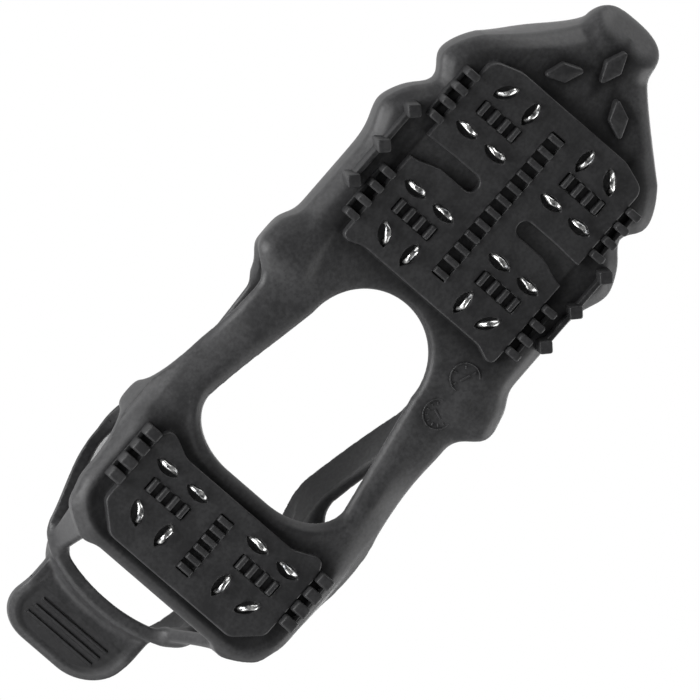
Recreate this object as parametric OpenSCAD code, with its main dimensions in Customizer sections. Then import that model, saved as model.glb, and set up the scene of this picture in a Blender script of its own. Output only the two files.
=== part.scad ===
// Pull-on ice grip overshoe: a moulded rubber carcass with toe cap, ball walls, two waist arms and a sprung
// heel strap, two bonded tread plates, and steel wire staples whose legs sit in bores of the plates.
// Frame: +X to the toe, +Y to the wearer's left, +Z up, tread on the ground at z = 0, and the origin under
// the middle of the length. Inside the modules x is counted from the waist, where the sole bends.

/* [Sole] */
// Height of the rubber web's underside above the ground
web_z = 6; // [5:0.1:8]
// Thickness of the rubber web and arms
web_t = 4; // [3:0.1:5]
// Half width of the forefoot on its straight sides
fore_half_w = 40.5; // [38:0.5:44]
// How far the side lobes stand out from the straight sides
lobe_out = 3.6; // [0:0.1:5]
// Place of the rear lobes, forward of the waist
rear_lobe_x = 17; // [15:0.5:20]
// Place of the middle lobes, forward of the waist
mid_lobe_x = 66; // [60:0.5:70]
// Depth of the flex notch in front of the middle lobes
notch_in = 4.5; // [0:0.1:5]
// Half width over the two arms at the waist
waist_half_w = 35; // [32:0.5:37]
// Length of an arm from the waist back to the heel web
arm_len = 36; // [33:0.5:38]
// Half width of the heel
heel_half_w = 39.5; // [37:0.5:42]
// Radius of the heel's back corners in plan
heel_corner_r = 15; // [12:0.5:18]
// Margin of web behind the heel plate
heel_margin = 5; // [4:0.1:7]
// Height of the turned-up edge round the heel
heel_edge_h = 4; // [2:0.1:6]
// Thickness of the turned-up edges
edge_t = 3; // [2:0.1:4]

/* [Window] */
// Reach of the middle window in front of the waist
window_front = 27; // [24:0.5:29]
// Reach of the middle window behind the waist
window_back = 42; // [40:0.5:44]
// Half width of the window near its front end
window_front_w = 19.2; // [16:0.1:20]
// Half width of the window near its back end
window_back_w = 27; // [23:0.1:28]

/* [Toe cap and ball walls] */
// Length of the toe in front of the tread plate
toe_len = 31; // [28:0.5:36]
// Half width of the toe's nose
nose_half_w = 11.3; // [8:0.1:13]
// Length of the toe's nose
nose_len = 8; // [6:0.1:10]
// Rise of the toe's underside at the nose
toe_spring = 5; // [2:0.1:8]
// Thickness of the upper walls
wall_t = 3; // [2:0.1:4]
// Half width of the boot opening between the ball walls
rim_half_w = 31; // [28:0.5:33]
// Half width of the boot opening where the toe cap starts
toe_rim_half_w = 22; // [19:0.5:24]
// How far the boot opening reaches into the toe cap
toe_rim_reach = 13; // [8:0.5:16]
// Height of the rim along the ball
ball_rim_z = 28; // [25:0.5:32]
// Height of the rim over the nose
toe_rim_z = 36; // [34:0.5:42]

/* [Heel strap] */
// Height of the strap's upper edge behind the heel
band_z = 50.5; // [48:0.5:58]
// Height of the band itself
band_h = 11; // [8:0.5:13]
// Thickness of the band
band_t = 3.2; // [2.4:0.1:4]
// How far the band leans in from its lower to its upper edge
band_lean = 5; // [2:0.5:7]
// How far the band swings out beside the heel
band_out = 8; // [0:0.5:9]
// Half width between the strap's upper edges at the heel
strap_half_w = 20.5; // [18:0.5:23]
// Distance from the waist back to where the strap's bow starts
bow_start = 84; // [83:0.5:90]
// Reach of the bow's lower edge behind its start
bow_reach = 9.5; // [8:0.5:14]
// How much further back the bow's upper edge reaches
bow_flare = 4.5; // [1:0.5:6]
// Width of a back strut at its foot
strut_foot_w = 9; // [6:0.5:11]
// Radius of the rounded foot on which a back strut bends
foot_r = 2.5; // [1.8:0.1:3]
// Width of a front strut along the foot
front_strut_w = 10; // [7:0.5:12]

/* [Pull tab] */
// Width of the pull tab
tab_w = 40; // [30:0.5:42]
// Length of the pull tab from its bending line
tab_len = 17.5; // [12:0.5:26]
// Thickness of the pull tab
tab_t = 3; // [2:0.1:4]
// Angle at which the pull tab stands up from level
tab_angle = 35; // [10:1:60]
// Radius of the tab's outer corners
tab_corner_r = 12; // [6:0.5:13]

/* [Tread plates] */
// Thickness of the tread plates
plate_t = 3; // [2.6:0.1:4]
// Distance from the waist forward to the forefoot plate
fore_plate_x = 31.5; // [30:0.5:36]
// Length of the forefoot plate
fore_plate_len = 66.5; // [64:0.5:72]
// Half width of the forefoot plate
fore_plate_half_w = 29.4; // [27:0.1:30]
// Distance from the waist back to the heel plate
heel_plate_x = 46.5; // [45:0.5:50]
// Length of the heel plate
heel_plate_len = 30.5; // [29:0.5:34]
// Half width of the heel plate
heel_plate_half_w = 31.2; // [29:0.1:32]
// Width of the flex slots in the forefoot plate
slot_w = 5.5; // [3:0.1:6]
// Distance from the middle line to the inner end of a flex slot
slot_inner = 8; // [7:0.1:12]

/* [Rubber lugs and ribs] */
// Length of one edge lug of the heel
lug_len = 3.8; // [2:0.1:4]
// Length of one edge lug of the forefoot
fore_lug_len = 2.5; // [2:0.1:4]
// Width of the heel's edge lugs across the foot
lug_w = 4.8; // [3:0.1:4.8]
// Spacing of the edge lugs
lug_pitch = 5.2; // [4.6:0.1:5.5]
// Height of the lug tips above the ground
lug_tip_z = 0.6; // [0.2:0.1:2]
// Height of the low rail that joins a row of lugs
lug_rail_h = 2; // [1:0.1:3]
// Length of one rib in the rib groups
rib_len = 4.6; // [3:0.1:6]
// Width of one rib
rib_w = 1.7; // [1.2:0.1:2.6]
// Spacing of the ribs
rib_pitch = 3.9; // [3.2:0.1:4.2]
// Height of the ribs and centre bars above their plate
rib_h = 1.6; // [1:0.1:2.2]
// Length of one centre bar across the foot
bar_len = 4.9; // [3:0.1:6]
// Width of one centre bar along the foot
bar_w = 2; // [1.4:0.1:2.6]
// Spacing of the centre bars of the forefoot
fore_bar_pitch = 4.5; // [3.8:0.1:4.8]
// Spacing of the centre bars of the heel
heel_bar_pitch = 3.45; // [3:0.05:3.9]
// Width across the flats of a corner-on stud
stud_w = 4; // [2.6:0.1:4.2]
// Spacing of the studs along their rail
stud_pitch = 13; // [10:0.5:14]
// Height of the studs
stud_h = 4.6; // [3:0.1:4.8]
// Width of the rail that joins the studs
stud_rail_w = 1.8; // [1:0.1:2.6]
// Length of the toe lugs
toe_lug_len = 14; // [9:0.5:15]
// Width of the toe lugs
toe_lug_w = 6; // [3:0.1:7]
// Depth of the toe lugs below the toe
toe_lug_h = 3; // [1.5:0.1:4]

/* [Staples] */
// Diameter of the staple wire
wire_d = 1.3; // [1:0.05:1.6]
// Radius of a staple's bend at the middle of the wire
staple_r = 2.8; // [2.2:0.1:3.2]
// Depth of the pocket round a staple
pocket_d = 0.8; // [0.3:0.1:1.2]
// Width of the pocket round a staple
pocket_w = 3.2; // [2.4:0.1:4]
// Clearance between a staple leg and its bore, on the radius
leg_gap = 0.05; // [0.02:0.01:0.1]
// Distance from the cross pair of a group to its single staples
group_len = 15.2; // [13:0.1:16]
// Angle of the slanting staples to the long axis
slant = 40; // [20:1:60]

/* [Hidden] */
$fn = 48;
// Gap at the places where the rubber bends
bend_gap = 0.3;
// Web beyond the wall's inner edge that the ball walls and toe cap carry themselves
strip_w = 6;
// Chamfer along the web's lower edge
edge_cut = 2;
// Depth to which a piece's own features run into each other
sink = 0.5;
web_top = web_z + web_t;
// How far the arm's rounded end stands proud of its faces
bead = 0.15;
bend_r = web_t / 2 + bead;
bend_z = web_z + web_t / 2;
stub_x = bend_r + bend_gap;
wall_back = 6;
toe_join = fore_plate_x + fore_plate_len + 1;
toe_tip = toe_join + toe_len;
notch_x = mid_lobe_x + 14.5;
shoulder_len = 15;
shoulder_in = 6.5;
heel_back = heel_plate_x + heel_plate_len + heel_margin;
edge_top = web_top + heel_edge_h;
plate_z = web_z - plate_t;
link_back = 14;
strut_mid = 43;
side_back = 50;
band_low = band_z - band_h;
foot_x = heel_back - foot_r;
foot_z = edge_top + bend_gap + foot_r;
foot_y = 22.5;
boss_half_w = 14;
boss_x = bow_start + bow_reach + bow_flare + band_t / 2 + 0.2;
tab_root_x = boss_x + bend_gap + tab_t / 2;
tab_root_z = band_z - band_h / 2 + 1.5;
tab_end = tab_root_x + tab_len * cos(tab_angle) + tab_t / 2 * sin(tab_angle);
mid_x = (toe_tip - tab_end) / 2;
arch_z = wire_d / 2 + staple_r;
leg_cover = 0.4;
leg_top = web_z - leg_cover;
stud_edge = 2.9;
stud_y = fore_half_w - stud_edge;
// Clearance between the studs and the forefoot's edge lugs, which fill the rest of the web beside the plate
stud_gap = 1;
fore_lug_w = stud_y - stud_w / sqrt(2) - stud_gap - fore_plate_half_w;
stud_back = 8.1;
// Distances of a group's cross pair, single staples and ribs from the middle line, as shares of the half width
// of their plate
pair_share = [0.374, 0.748];
single_share = [0.36, 0.69];
rib_share = 0.558;
row_count = 4;
rib_count = 4;
fore_bar_count = 12;
heel_bar_count = 6;
stud_count = 3;
wall_steps = 26;
toe_steps = 12;
rubber = "#2b2b2d";
plate_rubber = "#242426";
steel = "#c9ccd0";

// Groups of staples and ribs: name, place of the cross pair, direction to the single staples, side, and the
// half width of their plate
fore_mid = fore_plate_x + fore_plate_len / 2;
pair_gap = 11.1;
pair_margin = 5;
heel_pair = -(heel_plate_x + pair_margin);
sides = [["left", 1], ["right", -1]];
groups = [for (g = [["heel", heel_pair, -1, heel_plate_half_w],
                    ["rear", fore_mid - pair_gap, -1, fore_plate_half_w],
                    ["front", fore_mid + pair_gap, 1, fore_plate_half_w]],
               s = sides)
    [str(g[0], "_", s[0]), g[1], g[2], s[1], g[3]]];
staple_count = 4;

// Rows of edge lugs: name, place of the row's middle, plate edge, side, lug width and lug length
heel_row_in = 8.7;
rear_row_back = 20.8;
front_row_ahead = 15.5;
rows = [for (r = [["heel", -(heel_plate_x + heel_row_in), heel_plate_half_w, lug_w, lug_len],
                  ["rear", fore_mid - rear_row_back, fore_plate_half_w, fore_lug_w, fore_lug_len],
                  ["front", fore_mid + front_row_ahead, fore_plate_half_w, fore_lug_w, fore_lug_len]],
             s = sides)
    [str(r[0], "_", s[0], "_lugs"), r[1], r[2], s[1], r[3], r[4]]];

// Curves

function clamp01(t) = min(1, max(0, t));
function ease(t) = let (c = clamp01(t)) c * c * (3 - 2 * c);
function bump(d, reach) = exp(-pow(d / reach, 2));
function unit(v) = v / norm(v);
function flip(list) = [for (p = list) [p.x, -p.y]];
function reverse(list) = [for (i = [len(list) - 1:-1:0]) list[i]];

// Half width of the sole at a place forward of the waist
function fore_w(x) = waist_half_w + (fore_half_w - waist_half_w) * ease((x - 3) / 10)
    + lobe_out * (bump(x - rear_lobe_x, 7) + bump(x - mid_lobe_x, 7))
    - notch_in * bump(x - notch_x, 4.5)
    - shoulder_in * pow(max(0, x - toe_join + shoulder_len) / shoulder_len, 2);

// Half width over an arm at a place behind the waist, widening between a narrow start and the heel
arm_start = 4;
arm_end = 8;
function arm_w(x) = waist_half_w
    + (heel_half_w - waist_half_w) * ease((x - arm_start) / (arm_len - arm_start - arm_end));

// Half width of the window: a half ellipse in front, a straight taper, and a rounded back corner
window_centre = 8;
window_corner = 12;
window_flat = 8;
function window_w(x) = x > window_centre
    ? window_front_w * sqrt(max(0, 1 - pow((x - window_centre) / (window_front - window_centre), 2)))
    : x > window_corner - window_back
    ? window_front_w + (window_back_w - window_front_w) * (window_centre - x)
        / (window_centre + window_back - window_corner)
    : window_flat + (window_back_w - window_flat)
        * sqrt(max(0, 1 - pow((window_corner - window_back - x) / window_corner, 2)));

// Rim of the boot opening along the ball
function rim_y(x) = rim_half_w - (rim_half_w - toe_rim_half_w) * ease((x - toe_join + 39) / 39)
    - 2 * ease((20 - x) / 14);
function rim_z(x) = ball_rim_z + 4 * ease((24 - x) / 18) + 5 * ease((x - toe_join + 17) / 17)
    - 3 * bump(x - notch_x, 6);

// Half outline of the toe for t from 0 at the join to 1 at the tip: a hollow taper, then a blunt nose
taper_share = 0.6;
function toe_point(t) = t < taper_share
    ? let (k = t / taper_share)
        [toe_join + (toe_len - nose_len) * k,
         nose_half_w + (fore_w(toe_join) - nose_half_w) * pow(1 - k, 1.2)]
    : let (a = 90 * (t - taper_share) / (1 - taper_share))
        [toe_tip - nose_len + nose_len * pow(sin(a), 0.8), nose_half_w * pow(max(0, cos(a)), 0.8)];

// Solid through a list of rings of equal point counts, each ring counter-clockwise seen from the next one.
// From ring mirror_at on, its faces are split along the other diagonal, so that a symmetric solid stays so.
module loft(rings, mirror_at = 1000) {
    n = len(rings[0]);
    m = len(rings);
    function split(a, b, c, d, other, half) =
        other ? (half == 0 ? [a, b, d] : [b, c, d]) : (half == 0 ? [a, b, c] : [a, c, d]);
    polyhedron(
        points = [for (r = rings) each r],
        faces = concat(
            [[for (j = [0:n - 1]) j]],
            [for (i = [0:m - 2], j = [0:n - 1], half = [0, 1]) let (k = (j + 1) % n)
                split(i * n + j, (i + 1) * n + j, (i + 1) * n + k, i * n + k, i >= mirror_at, half)],
            [[for (j = [n - 1:-1:0]) (m - 1) * n + j]]),
        convexity = 6);
}

// Mirror image for the wearer's right side
module on_side(s) {
    mirror([0, s < 0 ? 1 : 0, 0]) children();
}

module placed() {
    translate([-mid_x, 0, 0]) children();
}

// Upper walls: section from the web's inner edge, round the sole's edge and up to the rim. Two places on the
// wall are given by their share of the way in to the rim and of the way up to it.
low_share = [0.05, 0.42];
high_share = [0.3, 0.8];
// Thinning of the wall at its rim, drop of the rim's inner edge, and size of the fillet inside the wall's foot
rim_thin = 0.8;
rim_drop = 0.6;
foot_fillet = 1;
function wall_ring(inner, edge, rim, lift, top) =
    let (out = unit(edge - inner), lean = rim - edge, into = unit(lean), base = web_top + lift,
         low = edge + lean * low_share.x, low_z = base + (top - base) * low_share.y,
         high = edge + lean * high_share.x, high_z = base + (top - base) * high_share.y,
         low_in = low + into * wall_t, high_in = high + into * wall_t, rim_in = rim + into * wall_t * rim_thin,
         tuck = edge + into * (wall_t + foot_fillet), cut = edge - out * edge_cut)
    [concat(inner, web_z),
     concat(cut, web_z + lift),
     concat(edge, web_z + edge_cut + lift),
     concat(edge, base),
     concat(low, low_z),
     concat(high, high_z),
     concat(rim, top),
     concat(rim_in, top - rim_drop),
     concat(high_in, high_z - 1),
     concat(low_in, low_z),
     concat(tuck, base + foot_fillet / 2),
     concat(inner, web_top)];

wall_xs = [for (i = [0:wall_steps]) wall_back + (toe_join - wall_back) * i / wall_steps];

module ball_wall(s) {
    color(rubber) placed() on_side(s)
        loft([for (x = wall_xs)
            wall_ring([x, fore_w(x) - strip_w], [x, fore_w(x)], [x, rim_y(x)], 0, rim_z(x))]);
}

// Closed toe: its underside runs from the web's front edge to the outline, its wall leans in to the rim
module toe_shape() {
    inner_w = fore_w(toe_join) - strip_w;
    function section(t, s) = let (p = toe_point(t), a = 90 * t)
        wall_ring([toe_join, s * inner_w * (1 - t)], [p.x, s * p.y],
                  [toe_join + toe_rim_reach * sin(a), s * toe_rim_half_w * cos(a)],
                  toe_spring * ease(t * 1.4),
                  rim_z(toe_join) + (toe_rim_z - rim_z(toe_join)) * ease(t));
    loft(concat([for (i = [0:toe_steps]) section(i / toe_steps, 1)],
                [for (i = [toe_steps - 1:-1:0]) section(i / toe_steps, -1)]), mirror_at = toe_steps);
}

module toe_cap() {
    color(rubber) placed() toe_shape();
}

// Flat web under the ball, with the two arm stubs that run back beside the window
module forefoot_web() {
    window_steps = 16;
    front_curve = [for (i = [0:window_steps]) let (a = 90 * i / window_steps)
        [window_centre + (window_front - window_centre) * cos(a), window_front_w * sin(a)]];
    half = concat(front_curve,
        [[stub_x, window_w(stub_x)], [stub_x, fore_w(stub_x)], [wall_back, fore_w(wall_back)]],
        [for (x = wall_xs) [x, fore_w(x) - strip_w]]);
    color(rubber) placed() translate([0, 0, web_z])
        linear_extrude(web_t) polygon(concat(half, reverse(flip([for (i = [1:len(half) - 1]) half[i]]))));
}

// Arm from the waist to the heel: rounded front end on the bending line, edge turned up towards the heel
module arm(s) {
    steps = 9;
    front = 0.6;
    xs = [for (i = [0:steps]) -front + (arm_len + front) * i / steps];
    lip_steps = 6;
    lip_from = 8;
    lip_in = 0.15;
    function lip(k) = let (x = lip_from + (arm_len - lip_in - lip_from) * k, w = arm_w(x) - lip_in,
                           low = web_top - sink, top = web_top - sink / 2 + (heel_edge_h + sink / 2) * ease(k))
        [[-x, w - edge_t, low], [-x, w - edge_t, top], [-x, w, top], [-x, w, low]];
    color(rubber) placed() on_side(s) {
        translate([0, 0, web_z]) linear_extrude(web_t)
            polygon(concat([for (x = xs) [-x, arm_w(x)]], reverse([for (x = xs) [-x, window_w(-x)]])));
        translate([0, window_w(0) + sink, bend_z]) rotate([-90, 0, 0])
            cylinder(r = bend_r, h = waist_half_w - window_w(0) - 2 * sink);
        loft([for (i = [0:lip_steps]) lip(i / lip_steps)]);
    }
}

// Half outline of the heel from the arm's end round the back corner to the middle line
function heel_half(inset) = let (r = heel_corner_r - inset, steps = 10)
    concat([[-arm_len, heel_half_w - inset]],
        [for (i = [0:steps]) let (a = 90 * i / steps)
            [-(heel_back - heel_corner_r) - r * sin(a), heel_half_w - heel_corner_r + r * cos(a)]]);

// Heel web with its turned-up edge
module heel_web() {
    steps = 10;
    window_half = [for (i = [0:steps]) let (x = -arm_len - (window_back - arm_len) * i / steps) [x, window_w(x)]];
    outer = heel_half(0);
    inner = heel_half(edge_t);
    color(rubber) placed() {
        translate([0, 0, web_z]) linear_extrude(web_t)
            polygon(concat(outer, reverse(flip(outer)), flip(window_half), reverse(window_half)));
        translate([0, 0, web_top - sink]) linear_extrude(heel_edge_h + sink)
            polygon(concat(outer, reverse(flip(outer)), flip(inner), reverse(inner)));
    }
}

// Rim band behind the ball: upper edge at k from 0, at the ball wall, to 1, where the heel bow starts
swing_from = 28;
swing_len = 26;
function band_k(x) = (x + wall_back) / (bow_start + wall_back);
function band_up_z(x) = let (k = band_k(x)) rim_z(wall_back) + (band_z - rim_z(wall_back)) * (1 - pow(1 - k, 2));
function band_up_y(x) = let (k = band_k(x)) strap_half_w + (rim_y(wall_back) - strap_half_w) * pow(1 - k, 2)
    + band_out * ease((x - swing_from) / swing_len) * ease((bow_start - x) / swing_len);

// Section of the leaning band at a place behind the waist
function band_ring(x) =
    let (up = [band_up_y(x), band_up_z(x)], low = up + [band_lean, -band_h],
         across = unit([band_h, band_lean]) * band_t / 2,
         section = [low + across, low - across, up - across, up + across])
    [for (p = section) [-x, p.x, p.y]];

module band_length(from, to, steps) {
    loft([for (i = [0:steps]) band_ring(from + (to - from) * i / steps)]);
}

// Stretch of rim over the waist, which bends with the sole
module rim_link(s) {
    color(rubber) placed() on_side(s) band_length(-wall_back, link_back, 4);
}

// Band above the arm, with the strut that carries it from the heel's front corner
module side_band(s) {
    low_y = band_up_y(strut_mid) + band_lean;
    low_z = band_up_z(strut_mid) - band_h;
    foot_half = front_strut_w / 2 + 2;
    top_half = front_strut_w / 2;
    bulge = 2.5;
    function level(half, inside, outside, z) =
        [[-strut_mid - half, inside, z], [-strut_mid + half, inside, z],
         [-strut_mid + half, outside, z], [-strut_mid - half, outside, z]];
    rise = low_z - edge_top;
    color(rubber) placed() on_side(s) {
        band_length(link_back, side_back, 8);
        loft([level(foot_half, heel_half_w - edge_t, heel_half_w, edge_top),
              level(top_half + 0.5, heel_half_w + bulge - wall_t, heel_half_w + bulge, edge_top + rise * 0.25),
              level(top_half, heel_half_w - wall_t - 1, heel_half_w - 1, edge_top + rise * 0.6),
              level(top_half, low_y - band_t / 2, low_y + band_t / 2, low_z + 1)]);
    }
}

// Stretch of band beside the heel, which stretches when the strap is pulled back
module side_strap(s) {
    color(rubber) placed() on_side(s) band_length(side_back, bow_start, 8);
}

// Superellipse that the bow follows: point and outward direction at an angle from its left leg
bow_power = 2.5;
function bow_c(a) = sign(cos(a)) * pow(abs(cos(a)), 2 / bow_power);
function bow_s(a) = pow(abs(sin(a)), 2 / bow_power);
function bow_point(a, reach, half) = [-bow_start - reach * bow_s(a), half * bow_c(a)];
function bow_out(a, reach, half) = unit([-pow(bow_s(a), bow_power - 1) / reach,
    sign(bow_c(a)) * pow(abs(bow_c(a)), bow_power - 1) / half]);

// Bow of the strap round the back of the heel, with the flat boss that the pull tab bends against
module heel_bow() {
    steps = 24;
    low_half = strap_half_w + band_lean;
    up_reach = bow_reach + bow_flare;
    boss_t = 3.2;
    boss_h = 7;
    color(rubber) placed() {
        loft([for (i = [0:steps]) let (a = 180 * i / steps,
                low = bow_point(a, bow_reach, low_half), low_d = bow_out(a, bow_reach, low_half) * band_t / 2,
                up = bow_point(a, up_reach, strap_half_w), up_d = bow_out(a, up_reach, strap_half_w) * band_t / 2)
            [concat(low + low_d, band_low), concat(low - low_d, band_low),
             concat(up - up_d, band_z), concat(up + up_d, band_z)]]);
        translate([-boss_x, -boss_half_w, tab_root_z - boss_h / 2]) cube([boss_t, 2 * boss_half_w, boss_h]);
    }
}

// Strut from the heel's back corner to the bow; it bends on its rounded foot
module back_strut(s) {
    low_half = strap_half_w + band_lean;
    seat_from = 8;
    seat_to = 30;
    near = bow_point(seat_from, bow_reach, low_half);
    far = bow_point(seat_to, bow_reach, low_half);
    foot_end = foot_y + strut_foot_w;
    neck = foot_r - 0.2;
    seat_in = band_t / 2 - 0.5;
    function level(x0, x1, y0, y1, z) = [[x0, y0, z], [x1, y0, z], [x1, y1, z], [x0, y1, z]];
    color(rubber) placed() on_side(s) {
        translate([-foot_x, foot_y, foot_z]) rotate([-90, 0, 0]) cylinder(r = foot_r, h = strut_foot_w);
        loft([level(-foot_x - neck, -foot_x + neck, foot_y + sink, foot_end - sink, foot_z - sink),
              level(-foot_x - neck - 3, -foot_x + neck - 4, foot_y + 1, foot_end - 1, (foot_z + band_low) / 2),
              level(far.x, near.x, far.y - seat_in, near.y + seat_in, band_low)]);
    }
}

// Pull tab: rounded flap with a round root along its bending line and three grip lines underneath
module pull_tab() {
    steps = 8;
    tab_flare = 3;
    half = concat([[0, boss_half_w], [-tab_flare, tab_w / 2]],
        [for (i = [0:steps]) let (a = 90 * i / steps)
            [-(tab_len - tab_corner_r) - tab_corner_r * sin(a), tab_w / 2 - tab_corner_r * (1 - cos(a))]]);
    line_pitch = 3.2;
    line_w = 1;
    line_h = 0.6;
    line_len = 20;
    color(rubber) placed() translate([-tab_root_x, 0, tab_root_z]) rotate([0, tab_angle, 0]) {
        translate([0, 0, -tab_t / 2]) linear_extrude(tab_t) polygon(concat(half, reverse(flip(half))));
        translate([0, boss_half_w, 0]) rotate([90, 0, 0]) cylinder(d = tab_t, h = 2 * boss_half_w);
        for (i = [1:3])
            translate([-tab_len / 2 + (i - 2) * line_pitch - line_w / 2, -line_len / 2, -tab_t / 2 - line_h])
                cube([line_w, line_len, line_h + tab_t / 2]);
    }
}

// Staple seen from below: half ring with two straight legs, standing along its own x
module staple() {
    color(steel) {
        translate([0, 0, arch_z]) rotate([90, 180, 0])
            rotate_extrude(angle = 180) translate([staple_r, 0]) circle(d = wire_d);
        for (x = [-staple_r, staple_r])
            translate([x, 0, arch_z]) cylinder(d = wire_d, h = leg_top - arch_z);
    }
}

// Places the four staples of a group, or their pockets: two across, one along the foot, one slanting
module staple_place(g, i) {
    along = i < 3 ? 0 : g[2] * group_len;
    y = g[4] * (i < 3 ? pair_share[i - 1] : single_share[i - 3]);
    turn = [90, 90, 0, g[2] > 0 ? 180 - slant : slant][i - 1];
    placed() on_side(g[3]) translate([g[1] + along, y, 0]) rotate([0, 0, turn]) children();
}

// Pocket in a plate for one staple, with the bores for its legs
module staple_seat() {
    half = staple_r + wire_d / 2 + 0.4 - pocket_w / 2;
    translate([0, 0, plate_z - 1]) {
        linear_extrude(pocket_d + 1) square([2 * half, pocket_w], center = true);
        for (x = [-half, half]) translate([x, 0, 0]) cylinder(d = pocket_w, h = pocket_d + 1);
    }
    for (x = [-staple_r, staple_r])
        translate([x, 0, plate_z]) cylinder(r = wire_d / 2 + leg_gap, h = plate_t + 1);
}

// Forefoot tread plate with its two flex slots
module forefoot_plate() {
    hw = fore_plate_half_w;
    end = fore_plate_x + fore_plate_len;
    mouth = 6;
    half = [[fore_plate_x, hw - 7], [fore_plate_x - 2, hw - 2], [fore_plate_x - 1, hw], [end - 4.5, hw],
            [end - 2.5, hw - 1.5], [end, hw - 9]];
    color(plate_rubber) difference() {
        placed() translate([0, 0, plate_z]) linear_extrude(plate_t) polygon(concat(half, reverse(flip(half))));
        for (s = sides) placed() on_side(s[1]) translate([fore_mid, 0, plate_z - 1]) {
            translate([0, slot_inner + slot_w / 2, 0]) cylinder(d = slot_w, h = plate_t + 2);
            linear_extrude(plate_t + 2)
                polygon([[-slot_w / 2, slot_inner + slot_w / 2], [slot_w / 2, slot_inner + slot_w / 2],
                         [slot_w / 2, hw - mouth], [slot_w / 2 + 2, hw + 1],
                         [-slot_w / 2 - 2, hw + 1], [-slot_w / 2, hw - mouth]]);
        }
        for (g = groups) if (g[1] > 0) for (i = [1:staple_count]) staple_place(g, i) staple_seat();
    }
}

// Heel tread plate
module heel_plate() {
    hw = heel_plate_half_w;
    end = heel_plate_x + heel_plate_len;
    half = [[-heel_plate_x, hw - 10.5], [-heel_plate_x + 3, hw - 4], [-heel_plate_x + 3, hw - 1.5],
            [-heel_plate_x, hw], [-end + 7, hw], [-end, hw - 8]];
    color(plate_rubber) difference() {
        placed() translate([0, 0, plate_z]) linear_extrude(plate_t) polygon(concat(half, reverse(flip(half))));
        for (g = groups) if (g[1] < 0) for (i = [1:staple_count]) staple_place(g, i) staple_seat();
    }
}

// Row of edge lugs against a plate's side, joined by a low rail along their outer ends
module lug_row(r) {
    rail_w = 1.4;
    length = (row_count - 1) * lug_pitch + r[5];
    color(rubber) placed() on_side(r[3]) translate([r[1] - length / 2, r[2], 0]) {
        for (i = [0:row_count - 1])
            translate([i * lug_pitch, 0, lug_tip_z]) cube([r[5], r[4], web_z - lug_tip_z]);
        translate([0, r[4] - rail_w, web_z - lug_rail_h]) cube([length, rail_w, lug_rail_h]);
    }
}

// Cross ribs between the staples of a group, on both sides
module ribs(name) {
    along = 7.1;
    first = -(rib_count - 1) / 2;
    color(plate_rubber) placed() for (g = groups) if (g[0] == str(name, "_left") || g[0] == str(name, "_right"))
        on_side(g[3]) for (i = [0:rib_count - 1])
            translate([g[1] + g[2] * along - rib_len / 2, g[4] * rib_share + (first + i) * rib_pitch - rib_w / 2,
                       plate_z - rib_h])
                cube([rib_len, rib_w, rib_h]);
}

// Column of bars along a plate's middle line
module bars(middle, count, pitch) {
    color(plate_rubber) placed() for (i = [0:count - 1])
        translate([middle + (i - (count - 1) / 2) * pitch - bar_w / 2, -bar_len / 2, plate_z - rib_h])
            cube([bar_w, bar_len, rib_h]);
}

// Three corner-on studs on a thin rail along the forefoot's edge
module stud_rail(s) {
    middle = fore_mid - stud_back;
    rail_h = 2.4;
    reach = (stud_count - 1) / 2 * stud_pitch;
    color(rubber) placed() on_side(s) translate([middle, stud_y, 0]) {
        for (i = [0:stud_count - 1])
            translate([i * stud_pitch - reach, 0, web_z - stud_h])
                cylinder(r = stud_w / sqrt(2), h = stud_h, $fn = 4);
        translate([-reach, -stud_rail_w / 2, web_z - rail_h]) cube([2 * reach, stud_rail_w, rail_h]);
    }
}

// Three diamond lugs under the toe, cut to its rising underside
module toe_lugs() {
    diamond = [[toe_lug_len / 2, 0], [0, toe_lug_w / 2], [-toe_lug_len / 2, 0], [0, -toe_lug_w / 2]];
    into = toe_lug_h * 0.6;
    side_x = toe_len * 0.213;
    side_y = nose_half_w * 0.94;
    nose_x = toe_len * 0.542;
    side_z = web_z + toe_spring * 0.2;
    nose_z = web_z + toe_spring * 0.55;
    // Forward place, side place, turn and seat height of each lug
    places = [[side_x, side_y, -45, side_z], [side_x, -side_y, 45, side_z], [nose_x, 0, 0, nose_z]];
    color(rubber) placed() difference() {
        for (p = places)
            translate([toe_join + p[0], p[1], p[3] - toe_lug_h]) rotate([0, 0, p[2]])
                linear_extrude(toe_lug_h + into) polygon(diamond);
        toe_shape();
    }
}

forefoot_web();
toe_cap();
heel_web();
heel_bow();
pull_tab();
forefoot_plate();
heel_plate();
ribs("heel");  // heel_ribs
ribs("rear");  // rear_ribs
ribs("front");  // front_ribs
bars(fore_mid, fore_bar_count, fore_bar_pitch);  // forefoot_bars
bars(-heel_plate_x - heel_plate_len / 2, heel_bar_count, heel_bar_pitch);  // heel_bars
toe_lugs();
for (s = sides) {
    ball_wall(s[1]);
    rim_link(s[1]);
    arm(s[1]);
    side_band(s[1]);
    side_strap(s[1]);
    back_strut(s[1]);
    stud_rail(s[1]);
}
for (r = rows) {
    lug_row(r);
}
for (g = groups, i = [1:staple_count]) {
    staple_place(g, i) staple();
}
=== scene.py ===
import math
import bmesh
import bpy
import numpy as np
from mathutils import Matrix, Vector


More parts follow.
